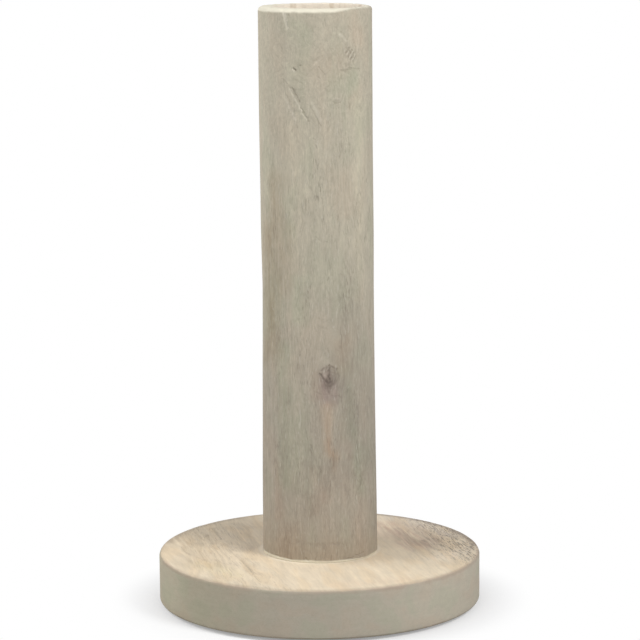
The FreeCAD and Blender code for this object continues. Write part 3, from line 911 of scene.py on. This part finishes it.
def base_wood(colours):
    """Creamy whitewash on the flat-sawn top of the base, with open pores, and a greyer one round its side,
    with painted light and shade on both.
    """
    finish = Finish("whitewashed_base")
    here, x, y, z = finish.place, finish.x, finish.y, finish.z
    off_line = here.vector("DOT_PRODUCT", (math.cos(GRAIN_TURN), math.sin(GRAIN_TURN), 0))
    on_line = here.vector("DOT_PRODUCT", (math.sin(GRAIN_TURN), -math.cos(GRAIN_TURN), 0))
    grain = finish.add("CombineXYZ", {0: off_line, 1: z, 2: on_line})
    place = grain.wander(14, 70, 1.6).wander(4, 14, 0.45)
    on_top = (z + here.swing(4, 4, 0.10)).step(BASE_TOP - 0.70, BASE_TOP - 0.08)
    reach = here.from_upright()

    # The grain is open at the left and the right of the board.
    left_open = finish.math("ABSOLUTE", off_line + 42).step(24, 8) * 0.7
    right_open = off_line.step(24, 62) * y.step(-34, -2, 0.35, 1)
    opened = left_open.most(right_open) + 0.10
    fibres = place.swing(1.7, 15, 0.075, 2, 0.6)
    hairs = place.swing(0.5, 5, 0.032)
    figure = place.wander(10, 60, 3).growth_rings(6, -70, 3.4) * 0.028
    clouding = here.swing(9, 9, 0.035, 3, 0.6)
    tone = fibres + hairs + figure + (clouding + 1)
    streaks = place.noise(7, 26, 1.5).step(0.46, 0.66, 0, 0.6)
    top = finish.tinted(colours.base_wash, (1.0, 0.95, 0.88), streaks)
    top = finish.scaled(finish.stained_and_lit(top, place.swing(1.4, 26, 0.9, 2, 0.6)), tone)
    short_pores = place.moved(9, 0, 4).dashes(0.45, 2.6, 0.60, 0.68) * off_line.step(48, 60)
    pores = (place.dashes(0.50, 6.5, 0.585, 0.66) * opened).most(short_pores)
    ridges = place.moved(0.55, 0, 1).dashes(0.50, 6.5, 0.585, 0.68) * opened
    top = finish.blend(ridges * off_line.step(44, 64, 0.14, 0.60), top, (0.80, 0.73, 0.61))
    top = finish.blend(pores * off_line.step(44, 64, 0.15, 0.60), top, colours.base_wood)
    shade = finish.shade()
    top = finish.blend(shade.share(0.62), top, colours.base_wood)
    top = finish.blend(shade.share(-0.8), top, RUBBED_AND_LIT)

    # A pale ring round the post's foot is painted light, and the wash is darker towards the edge.
    top = finish.blend(reach.step(28.2, 26.4) * 0.55, top, RUBBED_AND_LIT)
    front = y.step(-18, -58)
    top = finish.scaled(top, reach.step(BASE_RADIUS - 4.5, BASE_RADIUS - 1.2, 0, -0.17) * front + 1)
    # A dark grey line along the back of the top's edge is painted shade, where the round turns away from the
    # lamps.
    edge = (reach + here.swing(4, 4, 0.8)).step(BASE_RADIUS - 5.5, BASE_RADIUS - 1.5)
    back_edge_shade = edge * (y.step(-6, 16) * x.step(-30, 55, 0.25, 0.56))
    top = finish.blend(back_edge_shade, top, (0.20, 0.165, 0.15))

    side_drift = grain.wander(12, 20, 3).noise(9, 22, 1.5)
    side = finish.tinted(colours.base_side, GREENISH, side_drift.step(0.50, 0.36, 0, 0.9))
    side = finish.tinted(side, PINKISH, side_drift.step(0.50, 0.66, 0, 1.0))
    side = finish.tinted(side, (0.95, 0.95, 0.89), x.step(-10, -58))
    banding = here.wander(12, 4, 2).swing(22, 1.8, 0.022)
    side = finish.scaled(side, fibres * 0.45 + hairs * 0.9 + 1 + banding + clouding * 0.7)
    # Painted light and shade round the side: darker from the front to the left, lighter towards the right and
    # at the far left end.
    side = finish.scaled(side, x.step(5, 70, 0.94, 1.14) * x.step(-67, -54, 1.12, 1.0))
    side = finish.blend(place.dashes(0.55, 14, 0.60, 0.70) * 0.09, side, colours.base_wood)
    level = z + here.swing(4, 4, 0.25)
    low = base_low.z / MM
    # Painted shade darkens the bottom edge of the side, where the round turns under.
    side = finish.blend(level.step(low + 1.5, low + 0.4, 0, 0.4), side, (0.2, 0.16, 0.12))
    arris = level.step(BASE_TOP - 2.1, BASE_TOP - 0.8) * reach.step(BASE_RADIUS - 2.0, BASE_RADIUS - 0.7)
    arris = arris * here.noise(16, 4).step(0.36, 0.60, 0.14, 0.36)

    wash = finish.blend(arris, finish.blend(on_top, side, top), (0.36, 0.245, 0.185))
    relief = fibres * 2.2 + hairs * 2.0 + pores * on_top * -1.0 + ridges * on_top * 0.5
    return finish.close(wash, here.swing(3, 9, 0.05) + 0.84, relief, 0.09 * MM, WOOD_GLOSS)


def steel(colours):
    """Turned and pressed steel, dulled, with fine rings round its axis and dull spots."""
    finish = Finish("pricket_steel")
    reach = finish.place.from_upright(cup_axis / MM)
    rings = finish.add("CombineXYZ", {0: reach, 2: finish.z}).swing(0.12, 0.12, 0.5)
    spots = finish.place.noise(1.8, 1.8, 3).step(0.50, 0.66)
    metal = finish.scaled(finish.blend(spots * 0.6, colours.steel, (0.26, 0.235, 0.21)), rings * 0.08 + 1)
    return finish.close(metal, spots * 0.22 + rings * 0.04 + 0.34, rings, 0.01 * MM, {"Metallic": 1.0})


def zinc(colours):
    """Bright zinc plating with a fine crystal mottle and rubbed spots."""
    finish = Finish("zinc_steel")
    crystals = finish.place.swing(0.5, 0.5, 0.5)
    bloom = finish.place.noise(2.4, 2.4, 3).step(0.48, 0.68)
    metal = finish.scaled(finish.blend(bloom * 0.5, colours.zinc, (0.44, 0.44, 0.42)), crystals * 0.06 + 1)
    rough = bloom * 0.2 + crystals * 0.05 + 0.28
    return finish.close(metal, rough, crystals, 0.006 * MM, {"Metallic": 1.0})


def bare_beech(colours):
    """Pink-brown beech with its short dark flecks."""
    finish = Finish("beech")
    streaks = finish.place.swing(0.6, 14, 0.12, 3)
    flecks = finish.place.dashes(0.30, 1.8, 0.62, 0.70)
    wood = finish.blend(flecks * 0.5, finish.scaled(colours.beech, streaks + 1), (0.26, 0.14, 0.07))
    return finish.close(wood, 0.75, streaks + flecks * -0.4, 0.05 * MM, {})


def wool_felt(colours):
    """Brown wool felt with matted hairs."""
    finish = Finish("felt")
    matted = finish.place.wander(0.8, 0.8, 0.5).wander(0.3, 0.3, 0.2)
    tufts = matted.swing(0.14, 0.35, 0.5, 3, 0.7) + finish.place.swing(1.1, 0.8, 0.25)
    pale = matted.dashes(0.10, 0.9, 0.64, 0.70) * 0.35
    wool = finish.blend(pale, finish.scaled(colours.felt, tufts + 1), (0.30, 0.26, 0.22))
    return finish.close(wool, 0.95, tufts, 0.12 * MM, {"Sheen Weight": 0.4, "Specular IOR Level": 0.1})


class STAND_OT_turn_post(bpy.types.Operator):
    """Turns the post with its cup, wears it and marks it"""

    bl_idname = "stand.turn_post"
    bl_label = "Turn the post"

    def execute(self, context):
        sizes = context.scene.stand_post
        bottom, top = post_low.z, post_high.z
        cup_radius, foot_round, rim_round = sizes.cup_radius, sizes.foot_round, sizes.rim_round
        height_shares, radii, axes = zip(*POST_SIDE)

        def side(share):
            """The radius and the axis at a share of the post's height, going evenly from point to point."""
            return float(np.interp(share, height_shares, radii)), float(np.interp(share, height_shares, axes))

        radius, axis = side(0)
        outline = quarter((radius, bottom, axis), (-foot_round, 0), (0, foot_round), 5)
        stations = 28
        side_bottom, side_top = bottom + foot_round, top - rim_round
        station_height = (side_top - side_bottom) / stations
        for station in range(1, stations):
            level = side_bottom + station_height * station
            radius, axis = side((level - bottom) / (top - bottom))
            outline.append((radius, level, axis))
        radius, axis = side(1)
        outline += quarter((radius, top, axis), (0, -rim_round), (-rim_round, 0), 8)
        rim_radius, mouth = radius - rim_round, cup_radius + sizes.mouth_round
        for share in (0.35, 0.7):
            outline.append((rim_radius + (mouth - rim_radius) * share, top, axis + (cup_axis - axis) * share))
        outline += quarter((cup_radius, top, cup_axis), (sizes.mouth_round, 0), (0, -sizes.mouth_round), 4)
        cup_floor = plate_low.z
        for share in (0.15, 0.4, 0.7):
            outline.append((cup_radius, top - sizes.mouth_round - (top - cup_floor) * share, cup_axis))
        pilot_radius = PRICKET_SHANK + 0.1 * MM
        outline.append((cup_radius, cup_floor, cup_axis))
        outline += [(pilot_radius, cup_floor, cup_axis), (pilot_radius, pricket_low.z - 1 * MM, cup_axis)]
        post = turn("turned_post", sizes.side_facets, outline)
        bore(post, SCREW_PILOT, bottom - 2 * MM, screw_high.z + 1 * MM)
        for low, high in dowels:
            bore(post, DOWEL_SOCKET, bottom - 2 * MM, high.z + 1 * MM, (low.x + high.x) / 2)

        # Beyond this radius is the post's side, and not the cup's.
        outer = cup_radius + 2.5 * MM

        def upright(edge):
            first, second = (vertex.co for vertex in edge.verts)
            return abs(first.z - second.z) > station_height * 0.9 and math.hypot(first.x, first.y) > outer

        bpy.ops.object.mode_set(mode="EDIT")
        choose(post, "EDGE", upright)
        bpy.ops.mesh.subdivide(number_cuts=round(station_height / sizes.ring_height) - 1)
        take(post)
        places = points_of(post)
        reach, level = from_axis(places), places[:, 2]
        on_side = ease(reach, outer / MM - 2, outer / MM - 1) * ease(level, POST_FOOT, POST_FOOT + 2)
        displace(post, "sanding", on_side, sizes.wear, cloud_size=9 * MM, stretch=5)
        on_rim = ease(level, POST_HEAD - 2.6, POST_HEAD - 1.2) * ease(reach, 21.2, 22.4)
        displace(post, "rim_wear", on_rim, 0.4 * MM, cloud_size=3.5 * MM)

        def unroll(places):
            round_post = np.arctan2(places[:, 0], -places[:, 1]) * POST_ARC_RADIUS
            outside = (from_axis(places) > outer / MM - 1.6) & (places[:, 2] > POST_FOOT + 0.05)
            return np.stack([round_post, places[:, 2]], axis=1), outside

        press(post, POST_MARKS, unroll)
        paint(post, POST_MARKS, POST_STAINS_AND_PAINTED_LIGHT, unroll, KNOTS)
        complete(post, post_wood(context.scene.stand_finish), "post")
        return {"FINISHED"}


class STAND_OT_turn_base(bpy.types.Operator):
    """Turns the base with its rounded edges and its holes, and wears it"""

    bl_idname = "stand.turn_base"
    bl_label = "Turn the base"

    def execute(self, context):
        sizes = context.scene.stand_base
        top_round, bottom_round = sizes.top_round, sizes.bottom_round
        radius, bottom, top = base_high.x, base_low.z, base_high.z
        outline = quarter((radius, bottom), (-bottom_round, 0), (0, bottom_round), 5)
        side_rings = 8
        side_height = top - top_round - bottom - bottom_round
        for ring in range(1, side_rings):
            outline.append((radius, bottom + bottom_round + side_height * ring / side_rings))
        outline += quarter((radius, top), (0, -top_round), (-top_round, 0), 7)
        under_post, flat_radius = 24 * MM, radius - top_round
        rings = round((flat_radius - under_post) / sizes.ring_width)
        for ring in range(1, rings + 1):
            outline.append((flat_radius - (flat_radius - under_post) * ring / rings, top))
        base = turn("turned_base", sizes.side_facets, outline)
        bore(base, SCREW_PASSAGE, bottom - 2 * MM, top + 2 * MM)
        bore(base, COUNTERBORE, bottom - 2 * MM, washer_high.z)
        for low, high in dowels:
            bore(base, DOWEL_SOCKET, low.z - 1 * MM, top + 2 * MM, (low.x + high.x) / 2)
        places = points_of(base)
        worn = ease(from_axis(places), 26, 30) * ease(places[:, 2], bottom / MM + 1, bottom / MM + 3)
        displace(base, "board_wear", worn, sizes.wear, cloud_size=10 * MM)

        def seen_in_plan(places):
            return places[:, :2], (places[:, 2] > BASE_TOP - 0.6) & (from_axis(places) > 27)

        press(base, BASE_MARKS, seen_in_plan)
        paint(base, BASE_MARKS, BASE_STAINS_AND_PAINTED_LIGHT, seen_in_plan)
        complete(base, base_wood(context.scene.stand_finish), "base_disc")
        return {"FINISHED"}


def thread(name, core, depth, pitch, bottom, top, x=0.0):
    """A threaded rod: the outline of one turn, screwed round and up, and cut off flat at both ends."""
    clear_selection()
    start = bottom - 2 * pitch
    bpy.ops.mesh.primitive_plane_add(size=pitch, location=(core, 0, start))
    rod = name_piece(name)
    rest_in_place(rod)
    bpy.ops.object.mode_set(mode="EDIT")
    bpy.ops.mesh.select_all(action="SELECT")
    bpy.ops.mesh.merge(type="CENTER")
    # The root, the rising flank, the crest and the falling flank, in shares of the depth and the pitch.
    for out, up in ((0.0, 0.30), (1.0, 0.28), (0.0, 0.08), (-1.0, 0.34)):
        bpy.ops.mesh.extrude_vertices_move(TRANSFORM_OT_translate={"value": (depth * out, 0, pitch * up)})
    take(rod)
    winding = rod.modifiers.new("screw", "SCREW")
    winding.angle = 2 * math.pi
    winding.screw_offset = pitch
    winding.iterations = math.ceil((top - start) / pitch) + 2
    winding.steps = 32
    winding.use_merge_vertices = True
    winding.merge_threshold = WELD
    bpy.ops.object.modifier_apply(modifier=winding.name)
    bpy.ops.object.mode_set(mode="EDIT")
    bpy.ops.mesh.select_mode(type="VERT")
    bpy.ops.mesh.select_all(action="SELECT")
    bpy.ops.mesh.remove_doubles(threshold=WELD)
    for level, up in ((bottom, -1), (top, 1)):
        bpy.ops.mesh.select_all(action="SELECT")
        bpy.ops.mesh.bisect(plane_co=(0, 0, level), plane_no=(0, 0, up), use_fill=True, clear_outer=True)
    bpy.ops.mesh.select_all(action="SELECT")
    bpy.ops.mesh.normals_make_consistent(inside=False)
    clear_selection()
    rod.location.x = x
    rest_in_place(rod)
    return rod


class STAND_OT_turn_pricket(bpy.types.Operator):
    """Turns the pricket with its thread, and presses the drip plate"""

    bl_idname = "stand.turn_pricket"
    bl_label = "Turn the pricket"

    def execute(self, context):
        sizes = context.scene.stand_fittings
        low, high, tip = plate_low.z, plate_high.z, pricket_high.z
        sheet = 0.8 * MM
        collar_bottom = low + sheet
        collar_top, straight_top = collar_bottom + 1.6 * MM, collar_bottom + 7.6 * MM
        collar, spike, point = 4.5 * MM, 2.0 * MM, 0.3 * MM
        shank = PRICKET_SHANK - sizes.thread_depth
        outline = [(shank - 0.1 * MM, collar_bottom - 0.9 * MM), (shank, collar_bottom)]
        outline += quarter((collar, collar_bottom), (-0.3 * MM, 0), (0, 0.3 * MM), 4)
        outline += quarter((collar, collar_top), (0, -0.5 * MM), (-0.5 * MM, 0), 5)
        outline += quarter((spike, collar_top), (0.5 * MM, 0), (0, 0.5 * MM), 4)
        for share in (0.5, 1.0):
            outline.append((spike, collar_top + (straight_top - collar_top) * share))
        for share in (0.3, 0.6, 0.85):
            fullness = 1 + 0.12 * math.sin(math.pi * share)
            radius = (spike + (point - spike) * share) * fullness
            outline.append((radius, straight_top + (tip - straight_top) * share))
        outline += quarter((point, tip), (0, -point), (0.04 * MM - point, 0), 4)
        pricket = turn("turned_pricket", 64, outline, cup_axis)
        rod = thread(
            "pricket_thread", shank, sizes.thread_depth, sizes.pricket_pitch, pricket_low.z,
            collar_bottom - 0.4 * MM, cup_axis)
        cut_away(pricket, rod, "UNION")
        dulled = steel(context.scene.stand_finish)
        complete(pricket, dulled, "pricket", sharp_angle=50)

        lip = plate_high.x - cup_axis
        floor = lip - 2.0 * MM
        outline = [(floor * 0.5, low)]
        outline += quarter((floor, low), (-0.6 * MM, 0), (0.4 * MM, 0.7 * MM), 5)
        outline += quarter((lip, high - 0.9 * MM), (-0.5 * MM, 0), (0, 0.45 * MM), 4)
        outline += quarter((lip, high), (0, -0.4 * MM), (-0.5 * MM, 0), 5)
        outline += quarter((lip - 1.0 * MM, high), (0.3 * MM, 0), (0, -0.3 * MM), 3)
        outline += quarter((floor - 0.4 * MM, low + sheet), (0.1 * MM, 0.8 * MM), (-0.9 * MM, 0), 5)
        # A shallow ring is pressed into the pan's floor.
        for share, drop in ((0.62, 0), (0.60, 0.12), (0.57, 0.12), (0.55, 0), (0.30, 0)):
            outline.append((floor * share, low + sheet - drop * MM))
        plate = turn("pressed_plate", 144, outline, cup_axis)
        bore(plate, spike, low - 1 * MM, high, cup_axis)
        complete(plate, dulled, "drip_plate", sharp_angle=50)
        return {"FINISHED"}


class STAND_OT_make_screw(bpy.types.Operator):
    """Makes the screw that holds the post, and its washer"""

    bl_idname = "stand.make_screw"
    bl_label = "Make the post screw"

    def execute(self, context):
        sizes = context.scene.stand_fittings
        bottom, head_top, tip = screw_low.z, washer_low.z, screw_high.z
        head, shank, plain_top, socket_depth = screw_high.x, 3.0 * MM, 30 * MM, 2.4 * MM
        outline = quarter((head, bottom), (-1.6 * MM, 0), (0, 1.6 * MM), 7)
        outline += quarter((head, head_top), (0, -0.25 * MM), (-0.25 * MM, 0), 3)
        outline += quarter((shank, head_top), (0.3 * MM, 0), (0, 0.3 * MM), 4)
        outline += [(shank, plain_top - 0.5 * MM), (shank - 0.5 * MM, plain_top)]
        screw = turn("socket_screw", 72, outline)
        bore(screw, sizes.socket_flats / math.sqrt(3), bottom - 1 * MM, bottom + socket_depth, facets=6)
        core = shank - sizes.thread_depth
        rod = thread(
            "screw_thread", core, sizes.thread_depth, sizes.screw_pitch, plain_top - 1 * MM, tip - 5 * MM)
        cut_away(screw, rod, "UNION")
        point = [(core * 0.98, tip - 5.4 * MM), (core * 0.98, tip - 4.6 * MM), (core * 0.55, tip - 1.6 * MM)]
        cut_away(screw, turn("screw_point", 48, point + [(0.15 * MM, tip)]), "UNION")
        plated = zinc(context.scene.stand_finish)
        complete(screw, plated, "post_screw", sharp_angle=35)

        radius, low, high = washer_high.x, washer_low.z, washer_high.z
        outline = quarter((radius, low), (-0.35 * MM, 0), (0, 0.35 * MM), 4)
        outline += quarter((radius, high), (0, -0.15 * MM), (-0.15 * MM, 0), 3)
        washer = turn("stamped_washer", 96, outline + [(radius * 0.5, high)])
        bore(washer, SCREW_PASSAGE, low - 1 * MM, high + 1 * MM)
        complete(washer, plated, "screw_washer", sharp_angle=50)
        return {"FINISHED"}


class STAND_OT_make_dowels(bpy.types.Operator):
    """Makes the two fluted dowels"""

    bl_idname = "stand.make_dowels"
    bl_label = "Make the dowels"

    def execute(self, context):
        facets = context.scene.stand_fittings.flutes * FLUTE_FACETS
        (low, high), (other_low, other_high) = dowels
        radius, bottom, top = (high.x - low.x) / 2, low.z, high.z
        middle = (low.x + high.x) / 2
        bevel = 0.8 * MM
        outline = [(radius - bevel, bottom), (radius - bevel * 0.3, bottom + bevel * 0.4)]
        outline += [(radius, bottom + bevel * 1.2), (radius, top - bevel * 1.2)]
        outline += [(radius - bevel * 0.3, top - bevel * 0.4), (radius - bevel, top)]
        dowel = turn("fluted_dowel_left", facets, outline, middle)

        def in_flute(vertex):
            around = math.atan2(vertex.co.y, vertex.co.x - middle) / (2 * math.pi) * facets
            out = math.hypot(vertex.co.x - middle, vertex.co.y)
            return round(around) % FLUTE_FACETS == 0 and out > radius - bevel * 0.1

        bpy.ops.object.mode_set(mode="EDIT")
        choose(dowel, "VERT", in_flute)
        bpy.ops.transform.resize(value=(0.94, 0.94, 1), center_override=(middle, 0, (bottom + top) / 2))
        take(dowel)
        bpy.ops.object.duplicate()
        other = name_piece("fluted_dowel_right")
        other.location.x = (other_low.x + other_high.x) / 2 - middle
        rest_in_place(other)
        bare = bare_beech(context.scene.stand_finish)
        complete(dowel, bare, "dowel_left", sharp_angle=25)
        complete(other, bare, "dowel_right", sharp_angle=25)
        return {"FINISHED"}


class STAND_OT_cut_pads(bpy.types.Operator):
    """Cuts the felt pads and sticks them under the base"""

    bl_idname = "stand.cut_pads"
    bl_label = "Cut the felt pads"

    def execute(self, context):
        low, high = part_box("felt_pad_1")
        radius, bottom, top = (high.x - low.x) / 2, low.z, high.z
        outline = [(radius * share, bottom) for share in (0.35, 0.65, 0.85)]
        outline += quarter((radius, bottom), (-0.45 * MM, 0), (0, 0.45 * MM), 5)
        outline.append((radius, bottom + 0.8 * MM))
        outline += quarter((radius, top), (0, -0.35 * MM), (-0.15 * MM, 0), 4)
        pad = turn("felt_1", 128, outline + [(radius * 0.6, top)])
        places = points_of(pad)
        edge = ease(from_axis(places), radius / MM - 1, radius / MM - 0.1)
        edge = edge * ease(top / MM - places[:, 2], 0.02, 0.3)
        displace(pad, "fuzz", edge, context.scene.stand_fittings.fuzz, cloud_size=1.1 * MM)
        pads = [pad]
        for number in (2, 3, 4):
            take(pad)
            bpy.ops.object.duplicate()
            pads.append(name_piece(f"felt_{number}"))
        brown = wool_felt(context.scene.stand_finish)
        for number, piece in enumerate(pads, 1):
            low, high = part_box(f"felt_pad_{number}")
            # Each pad is turned on, so that no two show the same side.
            piece.rotation_euler.z = number * 1.3
            piece.location = ((low.x + high.x) / 2, (low.y + high.y) / 2, 0)
            rest_in_place(piece)
            complete(piece, brown, f"felt_pad_{number}", sharp_angle=60)
        return {"FINISHED"}


class STAND_OT_set_stage(bpy.types.Operator):
    """Sets the camera, the lamps and the floor"""

    bl_idname = "stand.set_stage"
    bl_label = "Set the stage"

    def execute(self, context):
        sizes, scene = context.scene.stand_stage, context.scene
        scene.view_settings.view_transform = "Standard"
        clear_selection()
        bpy.ops.object.camera_add()
        camera = context.object
        camera.data.lens = sizes.camera_lens
        camera.data.shift_x = sizes.camera_shift
        camera.matrix_world = (
            Matrix.Translation((0, -sizes.camera_distance, sizes.camera_height))
            @ Matrix.Rotation(math.pi / 2 - sizes.camera_pitch, 4, "X")
            @ Matrix.Rotation(sizes.camera_roll, 4, "Z"))
        scene.camera = camera
        middle, distance = Vector((0, 0, post_high.z / 2)), 0.9

        def lamp(name, watts, azimuth, elevation, width):
            """A square soft lamp that faces the stand. Azimuth 0 is the camera's side, 90 its right."""
            turned, raised = math.radians(azimuth), math.radians(elevation)
            level = math.cos(raised)
            away = Vector((math.sin(turned) * level, -math.cos(turned) * level, math.sin(raised)))
            bpy.ops.object.light_add(type="AREA", location=middle + away * distance)
            made = context.object
            made.name = name
            made.data.energy = watts
            made.data.size = width
            made.rotation_euler = away.to_track_quat("Z", "Y").to_euler()

        lamp("lamp_right", sizes.right_lamp, 46, 37, 0.28)
        lamp("lamp_left", sizes.left_lamp, -88, 38, 0.50)
        lamp("lamp_fill", sizes.fill_lamp, -38, 12, 0.90)

        # The room lights the stand evenly, and is white where it is looked at.
        scene.world = bpy.data.worlds.new("room")
        room = Nodes(scene.world)
        even = room.add("Background", {"Color": (0.97, 0.99, 1.09), "Strength": sizes.room})
        white = room.add("Background", {"Color": (1, 1, 1), "Strength": 1.0})
        room.add("OutputWorld", {0: room.add("MixShader", {0: room.seen(), 1: even, 2: white})})

        # The floor is pale near the stand, where its shadow falls, and goes over into the white room.
        clear_selection()
        bpy.ops.mesh.primitive_circle_add(vertices=96, radius=3, fill_type="NGON", location=(0, 0, 0))
        floor = context.object
        floor.name = "floor"
        finish = Finish("pale_floor")
        seen = finish.seen()
        far = seen * finish.place.vector("LENGTH").step(50, 98)
        pale = finish.blend(seen, (0.75, 0.75, 0.75), (0.95, 0.95, 0.95))
        matt = finish.add("BsdfDiffuse", {"Color": pale})
        bright = finish.add("Emission", {"Color": (1, 1, 1), "Strength": 1.0})
        finish.add("OutputMaterial", {0: finish.add("MixShader", {0: far, 1: matt, 2: bright})})
        floor.data.materials.append(finish.material)
        return {"FINISHED"}


class STAND_PT_panel(bpy.types.Panel):
    """Lists the steps that make the stand"""

    bl_idname = "STAND_PT_panel"
    bl_label = "Candle stand"
    bl_space_type = "VIEW_3D"
    bl_region_type = "UI"
    bl_category = "Candle stand"

    def draw(self, context):
        for step in STEPS:
            self.layout.operator(step.bl_idname)


SETTINGS = {
    "stand_post": PostSizes,
    "stand_base": BaseSizes,
    "stand_fittings": FittingSizes,
    "stand_finish": Finishes,
    "stand_stage": StageSizes,
}
STEPS = (
    STAND_OT_turn_post, STAND_OT_turn_base, STAND_OT_turn_pricket, STAND_OT_make_screw, STAND_OT_make_dowels,
    STAND_OT_cut_pads, STAND_OT_set_stage,
)
CLASSES = (*SETTINGS.values(), *STEPS, STAND_PT_panel)


def register():
    for kind in CLASSES:
        bpy.utils.register_class(kind)
    for name, group in SETTINGS.items():
        setattr(bpy.types.Scene, name, PointerProperty(type=group))


def unregister():
    for name in SETTINGS:
        delattr(bpy.types.Scene, name)
    for kind in reversed(CLASSES):
        bpy.utils.unregister_class(kind)


def main():
    register()
    bpy.ops.stand.turn_post()
    bpy.ops.stand.turn_base()
    bpy.ops.stand.turn_pricket()
    bpy.ops.stand.make_screw()
    bpy.ops.stand.make_dowels()
    bpy.ops.stand.cut_pads()
    bpy.ops.stand.set_stage()


if __name__ == "__main__":
    main()
